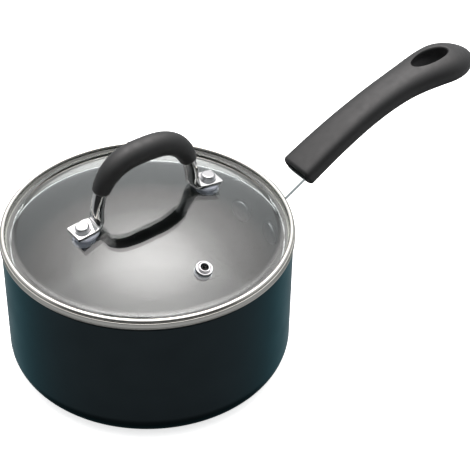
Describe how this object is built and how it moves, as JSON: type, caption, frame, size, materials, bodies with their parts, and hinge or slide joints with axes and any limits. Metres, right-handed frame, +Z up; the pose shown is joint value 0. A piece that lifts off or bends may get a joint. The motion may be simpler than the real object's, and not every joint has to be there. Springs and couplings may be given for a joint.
{
  "type": "covered saucepan",
  "caption": "Straight-sided nonstick saucepan with a riveted soft-grip long handle and a domed glass lid that lifts off by a chrome arch handle.",
  "frame": {"origin": "centre of the pan's flat base, on the surface it stands on", "axes": "+Z up along the pan's axis, +X along the long handle, +Y to its left seen from above"},
  "size_m": [0.3587, 0.1838, 0.1662],
  "materials": {
    "nonstick_aluminium": "satin black nonstick coating, inside and out, on pressed aluminium",
    "handle_steel": "satin stainless strip",
    "rivet_coated": "aluminium rivet under the pan's nonstick coating",
    "handle_nylon": "moulded black nylon",
    "grip_silicone": "fine matte charcoal silicone",
    "lid_glass": "clear tempered glass, faint green at the edge",
    "band_steel": "polished stainless sheet",
    "chrome": "bright chrome plate",
    "rivet_steel": "polished stainless",
    "clear_plastic": "clear polycarbonate washer",
    "clear_silicone": "translucent silicone washer"
  },
  "bodies": {
    "pan": {"pan_body": "nonstick_aluminium", "handle_bracket": "handle_steel", "pan_rivet_left": "rivet_coated", "pan_rivet_right": "rivet_coated", "handle_core": "handle_nylon", "handle_grip": "grip_silicone"},
    "lid": {"lid_glass": "lid_glass", "lid_rim_band": "band_steel", "lid_handle_arch": "chrome", "lid_handle_sleeve": "grip_silicone", "lid_rivet_left": "rivet_steel", "lid_rivet_right": "rivet_steel", "lid_spacer_left": "clear_plastic", "lid_spacer_right": "clear_plastic", "lid_gasket_left": "clear_silicone", "lid_gasket_right": "clear_silicone", "lid_washer_left": "rivet_steel", "lid_washer_right": "rivet_steel", "vent_eyelet": "rivet_steel", "vent_gasket": "clear_silicone", "vent_washer": "rivet_steel"}
  },
  "joints": [
    {"name": "lid_lift", "type": "slide", "parent": "pan", "child": "lid", "axis": [0, 0, 1], "range_m": [0, 0.12]}
  ]
}
